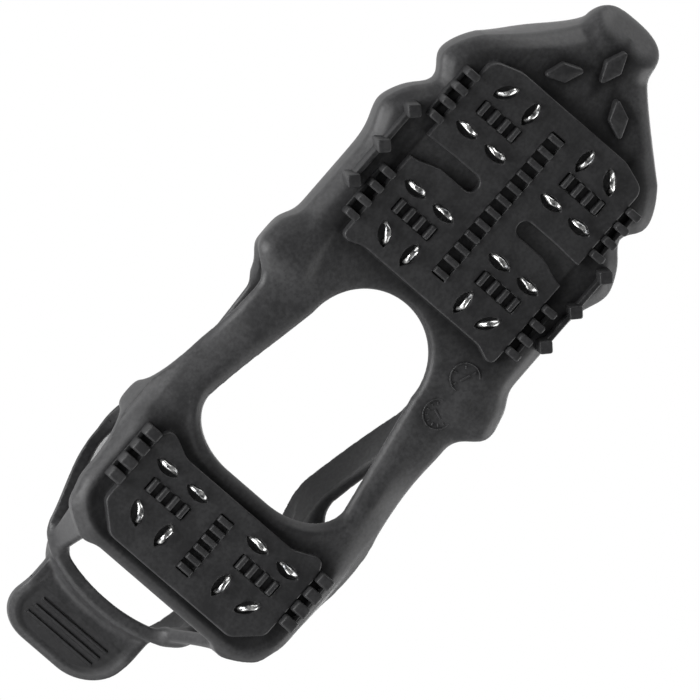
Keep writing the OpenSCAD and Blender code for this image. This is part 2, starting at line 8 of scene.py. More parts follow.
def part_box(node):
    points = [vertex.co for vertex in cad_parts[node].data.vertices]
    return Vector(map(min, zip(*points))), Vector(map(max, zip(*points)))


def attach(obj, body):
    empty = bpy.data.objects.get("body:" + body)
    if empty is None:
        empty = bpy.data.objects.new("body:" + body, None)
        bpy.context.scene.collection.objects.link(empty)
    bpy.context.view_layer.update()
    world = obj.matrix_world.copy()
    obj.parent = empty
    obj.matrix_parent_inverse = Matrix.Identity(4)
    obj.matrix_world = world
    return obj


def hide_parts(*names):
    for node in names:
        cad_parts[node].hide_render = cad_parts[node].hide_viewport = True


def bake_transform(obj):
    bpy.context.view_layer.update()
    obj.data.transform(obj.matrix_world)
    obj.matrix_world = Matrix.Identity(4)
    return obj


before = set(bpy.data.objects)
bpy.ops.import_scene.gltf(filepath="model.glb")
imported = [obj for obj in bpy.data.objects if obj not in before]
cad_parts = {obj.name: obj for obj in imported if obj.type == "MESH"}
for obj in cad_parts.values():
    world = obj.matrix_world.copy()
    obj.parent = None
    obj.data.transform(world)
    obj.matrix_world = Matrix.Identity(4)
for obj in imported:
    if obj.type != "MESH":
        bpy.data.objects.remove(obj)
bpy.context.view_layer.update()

# Rubber carcass: one injection moulding of soft black rubber. A flat web under the foot carries the toe cap and
# the ball walls, two arms run back round the open waist to the heel, and a sprung band and bow hold the boot's
# heel. It is worked out as one distance field, so that every part runs into the next in a fillet.

# Sizes are in millimetres, with x counted forwards from the bending line of the waist and z up from the ground
toe_tip, shoulder_x, heel_end = 130.0, 99.0, -82.0
nose_depth, heel_corner = 8.0, 15.0
fore_half, waist_half, heel_half, nose_half = 40.5, 37.4, 39.5, 11.3
web_middle, web_thick, wall_thick = 8.0, 4.0, 3.0

# Half widths of the boot opening, then the band that runs on from it round the heel
toe_rim, ball_rim, waist_rim, bow_half = 22.0, 31.0, 29.0, 20.5
band_front, band_back, waist_top, bow_top = 6.0, -84.0, 32.0, 50.5
band_high, band_thick, band_lean = 11.0, 3.2, 5.0
waist_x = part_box("toe_cap")[1].x * 1000 - toe_tip


def ease(t):
    """Smooth step: 0 below 0, 1 above 1, 3t^2 - 2t^3 between."""
    c = np.clip(t, 0, 1)
    return c * c * (3 - 2 * c)


def bump(d, reach):
    """Bell curve exp(-(d / reach)^2)."""
    return np.exp(-(d / reach) ** 2)


def fore_w(x):
    """Half width of the sole in front of the waist: straight sides, two lobes, a flex notch and shoulders that
    fall by a parabola."""
    shoulder = np.maximum(0, x - 84) / 15
    lobes = 3.4 * np.exp(-((x - 17) / 8.5) ** 4) + 3.6 * bump(x - 66, 7) - 4.5 * bump(x - 80.5, 4.5)
    return waist_half + (fore_half - waist_half) * ease((x - 3) / 10) + lobes - 6.5 * shoulder ** 2


def sole_path():
    """Half outline of the sole from the toe's tip to the heel: blunt nose, concave taper, ball, waist and a
    quarter circle at the heel's corner."""
    taper_x, corner_x = toe_tip - nose_depth, heel_end + heel_corner
    a = np.linspace(np.pi / 2, 0, 12)
    nose = np.column_stack([taper_x + nose_depth * np.sin(a) ** 0.8,
                            nose_half * np.clip(np.cos(a), 0, 1) ** 0.8])
    k = np.linspace(1, 0, 14)[1:]
    taper = np.column_stack([shoulder_x + (taper_x - shoulder_x) * k,
                             nose_half + (fore_w(shoulder_x) - nose_half) * (1 - k) ** 1.2])
    x = np.linspace(shoulder_x, 0, 70)[1:]
    ball = np.column_stack([x, fore_w(x)])
    x = np.linspace(0, corner_x, 24)[1:]
    arm = np.column_stack([x, waist_half + (heel_half - waist_half) * ease((-x - 4) / 24)])
    a = np.linspace(0, np.pi / 2, 12)[1:]
    corner = np.column_stack([corner_x - heel_corner * np.sin(a), heel_half - heel_corner * (1 - np.cos(a))])
    return np.vstack([nose, taper, ball, arm, corner, [[heel_end, 0]]])


def window_path():
    """Half outline of the waist window: half ellipse in front, straight taper, elliptic corner, flat back."""
    a = np.linspace(0, np.pi / 2, 20)
    front = np.column_stack([8 + 19 * np.cos(a), 19.2 * np.sin(a)])
    corner = np.column_stack([-29 - 12.4 * np.sin(a), 7.5 + 18.6 * np.cos(a)])
    return np.vstack([front, corner, [[-41.4, 0]]])


def rim_y(x):
    """Half width of the boot opening along the ball and, behind it, of the band's upper edge: a parabola to the
    bow that swings out by 8 mm beside the heel."""
    ball = ball_rim - (ball_rim - toe_rim) * ease((x - 60) / 39) - (ball_rim - waist_rim) * ease((20 - x) / 14)
    swing = 8 * ease((-28 - x) / 26) * ease((92 + x) / 34)
    k = np.clip((band_front - x) / (band_front - band_back), 0, 1)
    return np.where(x > band_front, ball, bow_half + (waist_rim - bow_half) * (1 - k) ** 2 + swing)


def rim_path():
    """Half outline of the boot opening: quarter ellipse in the toe cap, then the rim along the ball."""
    a = np.linspace(np.pi / 2, 0, 16)
    toe = np.column_stack([shoulder_x + 13 * np.sin(a), toe_rim * np.cos(a)])
    x = np.linspace(shoulder_x, -60, 60)[1:]
    return np.vstack([toe, np.column_stack([x, rim_y(x)])])


plan_low, plan_step, plan_size = (-124.0, -4.0), 0.4, (648, 132)


def plan_table(path):
    """Signed distance in plan to a half outline, negative within it, on a fine grid that look_up reads."""
    x = plan_low[0] + plan_step * np.arange(plan_size[0], dtype=np.float32)[:, None]
    y = np.abs(plan_low[1] + plan_step * np.arange(plan_size[1], dtype=np.float32) + 1e-4)[None, :]
    start, along = path[:-1].astype(np.float32), np.diff(path, axis=0).astype(np.float32)
    px, py = x[..., None] - start[:, 0], y[..., None] - start[:, 1]
    t = np.clip((px * along[:, 0] + py * along[:, 1]) / (along ** 2).sum(axis=1), 0, 1)
    gap = np.sqrt(((px - t * along[:, 0]) ** 2 + (py - t * along[:, 1]) ** 2).min(axis=-1))
    end = path[1:].astype(np.float32)
    rise = np.where(along[:, 1] == 0, 1, along[:, 1])
    astride = (start[:, 1] > y[..., None]) != (end[:, 1] > y[..., None])
    within = (astride & (px < py / rise * along[:, 0])).sum(axis=-1) % 2 == 1
    return np.where(within, -gap, gap).astype(float)


def look_up(table, x, y):
    """Value of a plan table between its grid points: bilinear."""
    u = np.clip((x - plan_low[0]) / plan_step, 0, plan_size[0] - 1.001)
    v = np.clip((y - plan_low[1]) / plan_step, 0, plan_size[1] - 1.001)
    i, j = u.astype(int), v.astype(int)
    u, v = u - i, v - j
    near = table[i, j] * (1 - v) + table[i, j + 1] * v
    far = table[i + 1, j] * (1 - v) + table[i + 1, j + 1] * v
    return near * (1 - u) + far * u


def rounded(a, b, r):
    """Part where both distances are negative, with its edge rounded to radius r."""
    a, b = a + r, b + r
    return np.minimum(np.maximum(a, b), 0) + np.hypot(np.maximum(a, 0), np.maximum(b, 0)) - r


def joined(a, b, fillet):
    """Union of two distances with a fillet: the smaller one less fillet / 4 times the square of how close they
    are to each other, from 0 at a fillet apart to 1 where they meet."""
    h = np.maximum(fillet - np.abs(a - b), 0) / fillet
    return np.minimum(a, b) - h * h * fillet / 4


def levelled(form, x, y, z):
    """A form's value over its slope, which makes it a distance in millimetres near its surface."""
    step = 0.25
    value = form(x, y, z)
    slope = np.sqrt((form(x + step, y, z) - value) ** 2 + (form(x, y + step, z) - value) ** 2
                    + (form(x, y, z + step) - value) ** 2) / step
    return value / np.maximum(slope, 0.01)


sole_plan, window_plan, rim_plan = plan_table(sole_path()), plan_table(window_path()), plan_table(rim_path())


def toe_share(x):
    """How far a place lies in the toe, where the underside is rounded up into the nose."""
    return ease((x - 102) / 20)


def toe_lift(x):
    """Rise of the underside towards the nose."""
    return 5 * ease((x - shoulder_x) / 27)


def soft_edge(x):
    """How far the sole's lower edge is rounded up into the wall: not along the arms, mostly at the ball, and
    fully at the toe."""
    return ease((x - 6) / 18) * (0.85 + 0.15 * toe_share(x))


def web_field(x, y, z):
    """Web 4 mm thick: its outer margin turns up along the arms and round the heel, and into the wall in front
    of them. Its underside rolls off towards the window, with a bead in front of the heel and round it."""
    out, window, rim = (look_up(plan, x, y) for plan in (sole_plan, window_plan, rim_plan))
    arm = bump(x + 18, 18)
    margin = 6.5 + 6 * arm
    c = np.clip(1 + out / margin, 0, 1)
    up = c * c
    behind = ease((6 - x) / 28)
    roll = np.clip(1 - window / (3.5 + 4 * arm), 0, 1) ** 2
    soft = soft_edge(x)
    inward = np.clip(np.maximum(rim, 0) / np.maximum(rim - out, 2), 0, 0.98)
    into_wall = (1.5 + 4.5 * soft) * (1 - (1 - inward ** 2.3) ** (1 / 2.3)) * ease((x - 6) / 16)
    top = 4.2 * behind * up + into_wall
    margin_rise = (2.6 - 1.1 * ease((-38 - x) / 12)) * behind + 2.6 * arm + 1.4 * bump(x - 8, 8)
    bottom = margin_rise * up + (1 + 1.6 * arm) * roll + into_wall
    bottom = bottom - 0.8 * bump(window - 2.6, 1.8) * ease((-26 - x) / 10)
    bottom = bottom - 0.9 * bump(out + 3.2, 1.7) * ease((-40 - x) / 10)
    middle = web_middle + toe_lift(x) + (top + bottom) / 2
    half = web_thick / 2 + (top - bottom) / 2
    slope = (top + bottom - 2 * into_wall) * c / np.maximum(up, 1e-6) / margin
    height = (np.abs(z - middle) - half) / np.sqrt(1 + np.minimum(slope, 1) ** 2)
    plan = np.maximum(out + 0.4 + 2.6 * soft, -window)
    return rounded(plan, height, 1.6)


def wall_form(x, y, z):
    """Loaf over the ball and toe: power curves from the sole's outline down to the web, and up and in to the
    rim."""
    out, rim = look_up(sole_plan, x, y), look_up(rim_plan, x, y)
    soft = soft_edge(x)
    inward = np.maximum(rim, 0) / np.maximum(rim - out, 2)
    edge = 7.5 + toe_lift(x) + 4.5 * soft
    top = (28 + 4 * ease((24 - x) / 18) + 5 * ease((x - 82) / 17) - 3 * bump(x - 80.5, 6)
           + 3 * ease((x - shoulder_x) / 14))
    above = z > edge
    rise = np.where(above, (z - edge) / (top - edge), (edge - z) / (1.5 + 4.5 * soft))
    power = np.where(above, 2.5, 2.3)
    return (inward ** power + rise ** power) ** (1 / power) - 1


def wall_field(x, y, z):
    """Wall 3 mm thick on the loaf's inside, open within the rim, with round lips and a swept back edge that
    thins out below."""
    outer = levelled(wall_form, x, y, z)
    shell = np.abs(outer + wall_thick / 2) - wall_thick / 2
    shell = rounded(shell, -look_up(rim_plan, x, y), 1.3)
    return rounded(shell, 5 + 7 * ease((23 - z) / 13) - x, 1.2 + 3.8 * ease((22 - z) / 8))


def band_top(x):
    """Height of the band's upper edge: a parabola from the ball's rim to the bow."""
    k = np.clip((band_front - x) / (band_front - band_back), 0, 1)
    return waist_top + (bow_top - waist_top) * (1 - (1 - k) ** 2)


def band_form(x, y, z):
    """Leaning band along both sides and its bow: power curve behind the heel, squarer towards its top edge."""
    bow_low = bow_top - band_high
    half = rim_y(np.minimum(x, band_front)) + (band_top(x) - z) * band_lean / band_high
    reach = np.maximum(9.5 + 4.5 * (z - bow_low) / band_high, 5)
    back = np.maximum(band_back - x, 0) / reach
    power = 1.9 + 0.7 * np.clip((z - bow_low) / band_high, 0, 1)
    return ((back ** power + (y / half) ** power) ** (1 / power) - 1) * half


def band_field(x, y, z):
    """Band 3.2 mm thick and 11 mm high: its edges are round along the waist, and crisp with a low bead on the
    lower one beside and behind the heel."""
    bead = 0.4 * bump(z - band_top(x) + band_high - 1.1, 0.8) * ease((-56 - x) / 15)
    across = np.abs(levelled(band_form, x, y, z)) - band_thick / 2 - bead
    height = np.abs(z - band_top(x) + band_high / 2) - band_high / 2
    return np.maximum(rounded(across, height, 0.6 + 0.9 * ease((x + 50) / 30)), x - band_front - 3)


def front_strut_field(x, y, z):
    """Strut from the heel's front corner: lens-shaped in plan, wide at its foot, swelling outwards, then
    leaning in to the band's lower edge."""
    foot = ease((24 - z) / 14)
    middle = 37.4 + 2.4 * bump(z - 20, 7) - 6.2 * ease((z - 21) / 16)
    half = 5 + 2 * foot + 1.5 * ease((z - 30) / 8)
    lens = (((y - middle) / 2.2) ** 2 + (np.abs(x + 43 - foot) / half) ** 3) ** 0.4 - 1
    return np.maximum(lens * 2, np.maximum(12.5 - z, z - 38))


def back_strut_field(x, y, z):
    """Strut from the heel's back corner up and back to the bow: a blade along the corner, wide at its
    foot."""
    t = np.clip((z - 12) / 28, 0, 1)
    ahead, aside = x + 77.8 + 9 * t ** 1.2, y - 30 + 7 * t
    outward = np.abs(0.53 * aside - 0.85 * ahead) - 1.9
    along = np.abs(0.53 * ahead + 0.85 * aside + 1.2 * t) - 5.8 + 2.4 * t
    return np.maximum(rounded(outward, along, 1.6), np.maximum(10 - z, z - 41))


tab_turn, tab_root, tab_height = math.radians(35), -101.6, 46.5
tab_long, tab_wide, tab_thick = 29.0, 39.0, 3.0


def tab_place(x, z):
    """A place seen from the tab's bending line: how far along the tab and how far off its middle surface, which
    is level in front of the line and turns up behind it in a bend of about 2 mm."""
    ahead = x - tab_root
    bend = np.hypot(ahead, 2)
    rise = math.tan(tab_turn) * ((bend - ahead) / 2 - 1)
    slope = math.tan(tab_turn) * (1 - ahead / bend) / 2
    along = np.where(ahead < 0, ahead / math.cos(tab_turn), ahead)
    return along, (z - tab_height - rise) / np.sqrt(1 + slope ** 2)


def tab_plan(along, y):
    """Plan distance of the tab: 39 mm wide and 29 mm long up to the bow, with round outer corners."""
    r = np.where(along < -3, 13, 5)
    a, b = np.abs(along + 3) - tab_long / 2 + r, y - tab_wide / 2 + r
    return np.hypot(np.maximum(a, 0), np.maximum(b, 0)) + np.minimum(np.maximum(a, b), 0) - r


def tab_field(x, y, z):
    """Pull tab 3 mm thick: rounded flap that runs on to the bow, dished below, with three grip ribs."""
    along, off = tab_place(x, z)
    plan = tab_plan(along, y)
    dish = 0.8 * ease((-1.5 - plan) / 3)
    flap = rounded(plan, np.maximum(off - tab_thick / 2, -off - tab_thick / 2 + dish), 0.7)
    line = np.maximum(np.abs((along + 10.9) % 3.4 - 1.7) - 0.6, np.abs(along + 5.8) - 4.6)
    rib = np.maximum(rounded(line, np.abs(off + 0.7) - 0.75, 0.3), y - 12.5)
    return np.maximum(np.minimum(flap, rib), -levelled(band_form, x, y, z))


def carcass_field(x, y, z):
    """Distance to the whole moulding: the union of its parts with a fillet at each meeting."""
    body = joined(web_field(x, y, z), wall_field(x, y, z), 1.6 + 6 * bump(x - 12, 11))
    ball = np.sqrt(((x - 121.2) / 8.7) ** 2 + (y / 12.2) ** 4 + ((z - 17) / 8.4) ** 2)
    body = joined(body, (ball - 1) * 8.4, 2.5)
    body = rounded(body, (x - 124.4) * 0.75 - (z - 10.9) * 0.66, 1.8)
    strap = band_field(x, y, z)
    strap = joined(strap, tab_field(x, y, z), 1.5)
    strap = joined(strap, back_strut_field(x, y, z), 3.5)
    body = joined(body, front_strut_field(x, y, z), 6)
    return joined(body, strap, 4.5)


def skin(field, low, high, cell):
    """Closed quad skin of a field that is alike on both sides: one point in each grid cell that the surface
    crosses, at the mean of its edge crossings, then moved onto the surface along the field's slope."""
    count = [int(math.ceil((h - l) / cell)) + 1 for l, h in zip(low, high)]
    x = low[0] + cell * np.arange(count[0])[:, None, None]
    y = (np.arange(count[1]) + 0.5) * cell
    z = low[2] + cell * np.arange(count[2])[None, None, :]
    half = field(x, y[None, :, None], z)
    value = np.concatenate([half[:, ::-1], half], axis=1)
    origin = np.array([low[0], -y[-1], low[2]])
    inner = value < 0
    corner = np.array([[i, j, k] for i in (0, 1) for j in (0, 1) for k in (0, 1)])
    span = np.array(value.shape) - 1
    filled = sum(inner[i:i + span[0], j:j + span[1], k:k + span[2]].astype(np.int8) for i, j, k in corner)
    cells = np.argwhere((filled > 0) & (filled < 8))
    at = [value[tuple((cells + c).T)] for c in corner]
    total, crossings = np.zeros(cells.shape), np.zeros(len(cells))
    pairs = [(a, b) for a in range(8) for b in range(a + 1, 8)]
    for a, b in [p for p in pairs if np.abs(corner[p[0]] - corner[p[1]]).sum() == 1]:
        crossed = (at[a] < 0) != (at[b] < 0)
        t = np.where(crossed, at[a] / np.where(crossed, at[a] - at[b], 1), 0)
        total += crossed[:, None] * (corner[a] + t[:, None] * (corner[b] - corner[a]))
        crossings += crossed
    points = origin + cell * (cells + total / crossings[:, None])
    number = np.full(tuple(span), -1)
    number[tuple(cells.T)] = np.arange(len(cells))
    quads = []
    for axis in range(3):
        step, u, v = np.eye(3, dtype=int)[[axis, (axis + 1) % 3, (axis + 2) % 3]]
        ends = [slice(0, -1) if i == axis else slice(1, -1) for i in range(3)]
        ahead = [slice(1, None) if i == axis else slice(1, -1) for i in range(3)]
        here, there = inner[tuple(ends)], inner[tuple(ahead)]
        edge = np.argwhere(here != there) + (1 - step)
        ring = np.stack([number[tuple((edge + o).T)] for o in (-u - v, -v, 0 * u, -u)], axis=1)
        quads.append(np.where(inner[tuple(edge.T)][:, None], ring, ring[:, ::-1]))
    side = np.where(points[:, 1:2] < 0, [1, -1, 1], 1.0)
    points *= side
    probe = np.array([[1, -1, -1], [-1, -1, 1], [-1, 1, -1], [1, 1, 1]])
    for _ in range(3):
        near = [points + 0.12 * p for p in probe]
        tests = [field(n[:, 0], np.abs(n[:, 1]), n[:, 2]) for n in near]
        slope = sum(t[:, None] * p for t, p in zip(tests, probe)) / 0.48
        size = np.maximum((slope ** 2).sum(axis=1), 0.05)
        move = np.clip(sum(tests) / 4 / size, -0.5 * cell, 0.5 * cell)
        points -= move[:, None] * slope
    normals = slope / np.sqrt(size)[:, None]
    return points * side, np.vstack(quads), normals * side


def piece(name, points, faces, normals=None):
    """Mesh object from points in millimetres from the waist and smooth faces of equal corner counts."""
    mesh = bpy.data.meshes.new(name)
    mesh.vertices.add(len(points))
    mesh.vertices.foreach_set("co", ((points + [waist_x, 0, 0]) / 1000).astype(np.float32).ravel())
    mesh.loops.add(faces.size)
    mesh.loops.foreach_set("vertex_index", faces.astype(np.int32).ravel())
    mesh.polygons.add(len(faces))
    mesh.polygons.foreach_set("loop_start", np.arange(0, faces.size, faces.shape[1], dtype=np.int32))
    mesh.update(calc_edges=True)
    mesh.shade_smooth()
    obj = bpy.data.objects.new(name, mesh)
    bpy.context.scene.collection.objects.link(obj)
    if normals is not None:
        mesh.normals_split_custom_set_from_vertices(normals.tolist())
    return obj


def part_of_skin(name, points, quads, normals, chosen):
    """Chosen faces of a skin as a piece of their own, with the cut ends closed by hidden caps."""
    used, faces = np.unique(quads[chosen], return_inverse=True)
    obj = piece(name, points[used], faces.reshape(-1, 4))
    work = bmesh.new()
    work.from_mesh(obj.data)
    bmesh.ops.holes_fill(work, edges=[e for e in work.edges if e.is_boundary], sides=0)
    work.to_mesh(obj.data)
    work.free()
    obj.data.normals_split_custom_set_from_vertices(normals[used].tolist())
    return obj


def linear(code):
    """Linear colour of an sRGB hex value."""
    c = np.array([int(code[i:i + 2], 16) for i in (1, 3, 5)]) / 255
    return (*np.where(c <= 0.04045, c / 12.92, ((c + 0.055) / 1.055) ** 2.4), 1.0)


def add(tree, kind, links=None, **settings):
    """Adds a node: settings are its properties, and links maps input names to a value or a node's output."""
    new = tree.nodes.new(kind)
    for key, value in settings.items():
        setattr(new, key, value)
    for key, value in (links or {}).items():
        if isinstance(value, bpy.types.NodeSocket):
            tree.links.new(value, new.inputs[key])
        else:
            new.inputs[key].default_value = value
    return new


def moulded_rubber(name, dark, pale, roughness, gloss):
    """Moulded rubber: nearly black, satin where the tool was smooth, with a grey bloom in soft patches of about
    9 mm, fine specks of 1.1 mm, and a grain of 0.5 mm, drawn coarser than the real 0.1 mm so that it shows.
    Painted shade: where the point attribute hollow rises, the colour is mixed towards near-black and the
    specular is dimmed, standing in for the shade that falls in hollows, between parts and on some lug tops."""
    mat = bpy.data.materials.new(name)
    mat.use_nodes = True
    tree = mat.node_tree
    shader = tree.nodes["Principled BSDF"]
    place = add(tree, "ShaderNodeTexCoord").outputs["Object"]
    patch = add(tree, "ShaderNodeTexNoise", {"Vector": place, "Scale": 1 / 0.009, "Detail": 5.0,
                                             "Roughness": 0.62})
    speck = add(tree, "ShaderNodeTexNoise", {"Vector": place, "Scale": 1 / 0.0011, "Detail": 2.0})
    grain = add(tree, "ShaderNodeTexNoise", {"Vector": place, "Scale": 1 / 0.0005, "Detail": 2.0})
    both = add(tree, "ShaderNodeMath", {0: patch.outputs["Fac"], 1: speck.outputs["Fac"]},
               operation="MULTIPLY")
    bloom = add(tree, "ShaderNodeMapRange", {"Value": both.outputs[0], "From Min": 0.16, "From Max": 0.36})
    bloomed = add(tree, "ShaderNodeMix", {0: bloom.outputs[0], 6: linear(dark), 7: linear(pale)},
                  data_type="RGBA")
    # Painted shade: the hollow attribute mixes the colour towards #0b0b0c and lowers the specular level
    hollow = add(tree, "ShaderNodeAttribute", attribute_name="hollow")
    colour = add(tree, "ShaderNodeMix", {0: hollow.outputs["Fac"], 6: bloomed.outputs[2],
                                         7: linear("#0b0b0c")}, data_type="RGBA")
    shine = add(tree, "ShaderNodeMapRange", {"Value": hollow.outputs["Fac"], "To Min": gloss,
                                             "To Max": 0.1 * gloss})
    matt = add(tree, "ShaderNodeMapRange", {"Value": patch.outputs["Fac"], "From Min": 0.3, "From Max": 0.7,
                                            "To Min": roughness - 0.06, "To Max": roughness + 0.06})
    relief = add(tree, "ShaderNodeBump", {"Height": grain.outputs["Fac"], "Strength": 0.15,
                                          "Distance": 0.0001})
    tree.links.new(colour.outputs[2], shader.inputs["Base Color"])
    tree.links.new(matt.outputs[0], shader.inputs["Roughness"])
    tree.links.new(relief.outputs[0], shader.inputs["Normal"])
    shader.inputs["IOR"].default_value = 1.5
    tree.links.new(shine.outputs[0], shader.inputs["Specular IOR Level"])
    return mat


carcass_rubber = moulded_rubber("carcass_rubber_moulded", "#29292a", "#373738", 0.48, 0.34)
points, quads, normals = skin(carcass_field, (-120, 0, 2), (133, 45, 61), 0.76)

# The skin is cut where the strap, the back struts and the tab bend
centre = points[quads].mean(axis=1)
is_tab = centre[:, 0] < -101.2
is_strut = (centre[:, 0] < -71) & (centre[:, 2] > 15.6) & (centre[:, 2] < 38) & ~is_tab
is_strap = (centre[:, 0] < -53) & (centre[:, 2] > 32) & ~is_tab & ~is_strut
is_body = ~(is_tab | is_strut | is_strap)


carcass = part_of_skin("rubber_carcass", points, quads, normals, is_body)
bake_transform(carcass)
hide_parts("forefoot_web", "toe_cap", "heel_web", "ball_wall_left", "ball_wall_right",
            "rim_link_left", "rim_link_right", "arm_left", "arm_right", "side_band_left", "side_band_right")
struts = part_of_skin("rubber_back_struts", points, quads, normals, is_strut)
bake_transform(struts)
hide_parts("back_strut_left", "back_strut_right")
strap = part_of_skin("rubber_heel_strap", points, quads, normals, is_strap)
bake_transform(strap)
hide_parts("side_strap_left", "side_strap_right", "heel_bow")

# The tab is drawn again in finer cells, for its dish and ribs
points, quads, normals = skin(carcass_field, (-120, 0, 41), (-98, 23, 60), 0.36)
is_tab = points[quads].mean(axis=1)[:, 0] < -100.3
tab = part_of_skin("rubber_pull_tab", points, quads, normals, is_tab)
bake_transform(tab)
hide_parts("pull_tab")
for obj in (carcass, struts, strap, tab):
    obj.data.materials.append(carcass_rubber)

# Tread plates: two plates of harder, smoother rubber, moulded apart and bonded under the ball and the heel.
# The forefoot plate has a flex slot on each side. Each staple sits in an oval pocket of its plate, and the ribs
# and bars stand in shallow troughs.
fore_plate_half, heel_plate_half = 29.4, 31.2
plate_middle, plate_thick, plate_edge_r = 4.7, 3.4, 0.55
pocket_floor, pocket_long, pocket_wide, pocket_shift = 4.7, 8.0, 3.6, 0.6
trough_floor, trough_long, trough_wide = 4.3, 4.6, 14.4
slot_x, slot_half, slot_end, slot_sweep, slot_flare = 64.75, 2.6, 10.75, 1.5, 1.1

# Groups of four staples on one side: x of the two cross staples, and the direction to the single ones
groups = {"heel": (-51.5, -1), "rear": (53.65, -1), "front": (75.85, 1)}
single_shift, rib_shift = 15.2, 7.1

# Columns of bars along the middle of each plate: x of the middle, and half the length and width of the trough
fore_column, heel_column = (64.75, 26.2, 2.45), (-61.75, 10.0, 2.45)

# Places across a plate as shares of its half width: the two cross staples, the two single ones and the ribs
cross_shares, single_shares, rib_share = (0.374, 0.748), (0.36, 0.69), 0.558


def soften(corners, r):
    """Path through corners, each rounded by a quadratic curve that starts r before it and ends r after it."""
    corners = np.array(corners, float)
    before, after = corners[:-2] - corners[1:-1], corners[2:] - corners[1:-1]
    for side in (before, after):
        length = np.linalg.norm(side, axis=1)[:, None]
        side *= np.minimum(r, 0.45 * length) / length
    t = np.linspace(0, 1, 6)[None, :, None]
    turn = corners[1:-1, None] + before[:, None] * (1 - t) ** 2 + after[:, None] * t ** 2
    return np.vstack([corners[:1], turn.reshape(-1, 2), corners[-1:]])


def plate_half(x):
    """Half width of the plate that lies at x."""
    return fore_plate_half if x > 0 else heel_plate_half


def staple_places(pair_x, way):
    """x, y and turn of a group's staples on the left: two across, one along the foot, one slanting."""
    slant = math.radians(180 - 40 if way > 0 else 40)
    half, single_x = plate_half(pair_x), pair_x + way * single_shift
    crossed = [(pair_x, share * half, math.pi / 2) for share in cross_shares]
    return crossed + [(single_x, share * half, turn) for share, turn in zip(single_shares, (0.0, slant))]


def pocket_gap(x, y, places):
    """Plan distance to the nearest staple pocket: a lens of two arcs, set 0.6 mm behind its staple."""
    gap = np.full(np.broadcast(x, y).shape, 99.0)
    r = (pocket_long ** 2 + pocket_wide ** 2) / (4 * pocket_wide)
    for px, py, turn in places:
        along = (x - px + pocket_shift) * math.cos(turn) + (y - py) * math.sin(turn)
        across = (y - py) * math.cos(turn) - (x - px + pocket_shift) * math.sin(turn)
        gap = np.minimum(gap, np.hypot(along, np.abs(across) + r - pocket_wide / 2) - r)
    return gap


def trough_gap(x, y, group):
    """Plan distance to the trough in which a group's ribs stand."""
    pair_x, way = group
    return np.maximum(np.abs(x - pair_x - way * rib_shift) - trough_long / 2,
                      np.abs(y - rib_share * plate_half(pair_x)) - trough_wide / 2)


def column_gap(x, y, column):
    """Plan distance to the trough in which a column of bars stands."""
    middle, half_long, half_wide = column
    return np.maximum(np.abs(x - middle) - half_long, y - half_wide)


fore_plan = plan_table(soften([[98, 0], [98, fore_plate_half - 9], [95.5, fore_plate_half - 1.5],
                               [93.5, fore_plate_half], [30.5, fore_plate_half], [29.5, fore_plate_half - 2],
                               [31.5, fore_plate_half - 7], [31.5, 0]], 1.6))
heel_plan = plan_table(soften([[-46.5, 0], [-46.5, heel_plate_half - 10.5], [-43.5, heel_plate_half - 4],
                               [-43.5, heel_plate_half - 1.5], [-46.5, heel_plate_half],
                               [-70, heel_plate_half], [-77, heel_plate_half - 8], [-77, 0]], 1.6))


def plate_field(plan, x, y, z, own_groups, column):
    """Plate from z = 3 to the web with rounded edges, less its pockets, 1.7 mm deep, and its troughs, 1.3 mm
    deep."""
    plate = rounded(plan, np.abs(z - plate_middle) - plate_thick / 2, plate_edge_r)
    pockets = pocket_gap(x, y, [place for group in own_groups for place in staple_places(*group)])
    plate = np.maximum(plate, -rounded(pockets, z - pocket_floor, 0.3))
    troughs = column_gap(x, y, column)
    for group in own_groups:
        troughs = np.minimum(troughs, trough_gap(x, y, group))
    return np.maximum(plate, -rounded(troughs, z - trough_floor, 0.2))


def fore_plate_field(x, y, z):
    """Forefoot plate: its outline less the slot, which has a round inner end and a wider mouth, swept back."""
    mouth = ease((y - 19) / 10)
    slot = np.where(y > slot_end, np.abs(x - slot_x + slot_sweep * mouth) - slot_half - slot_flare * mouth,
                    np.hypot(x - slot_x, y - slot_end) - slot_half)
    plan = np.maximum(look_up(fore_plan, x, y), -slot)
    return plate_field(plan, x, y, z, [groups["rear"], groups["front"]], fore_column)


def heel_plate_field(x, y, z):
    """Heel plate: its outline only."""
    return plate_field(look_up(heel_plan, x, y), x, y, z, [groups["heel"]], heel_column)


def mark_hollows(obj, share):
    """Stores a share of painted shade, 0 to 1, as the point attribute hollow at each point of a piece: a
    function of x, |y| and z in millimetres, or a number for the whole piece."""
    place = np.empty(len(obj.data.vertices) * 3, np.float32)
    obj.data.vertices.foreach_get("co", place)
    x, y, z = (place.reshape(-1, 3) * 1000 - [waist_x, 0, 0]).T
    value = share(x, np.abs(y), z) if callable(share) else np.full(len(x), share)
    attribute = obj.data.attributes.new("hollow", "FLOAT", "POINT")
    attribute.data.foreach_set("value", value.astype(np.float32))


def plate_hollow(x, y, z):
    """Painted shade in the pockets and troughs: rises with their depth, from 0.4 to 1.4 mm, away from the
    plate's edge.
    """
    inside = np.minimum(look_up(fore_plan, x, y), look_up(heel_plan, x, y)) < -1.5
    return np.where(inside & (z < 5.6), 0.3 * ease((z - 3.4) / 1.0), 0)


plate_rubber = moulded_rubber("tread_rubber_moulded", "#252526", "#303031", 0.46, 0.32)
plates = {"forefoot": (fore_plate_field, (28, 0, 2), (100, 31, 7.4)),
          "heel": (heel_plate_field, (-79, 0, 2), (-42, 33, 7.4))}
for body, (field, low, high) in plates.items():
    plate = piece(body + "_tread_plate", *skin(field, low, high, 0.38))
    plate.data.materials.append(plate_rubber)
    # Painted shade in the plate's pockets and troughs
    mark_hollows(plate, plate_hollow)
    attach(plate, body)
    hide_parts(body + "_plate")

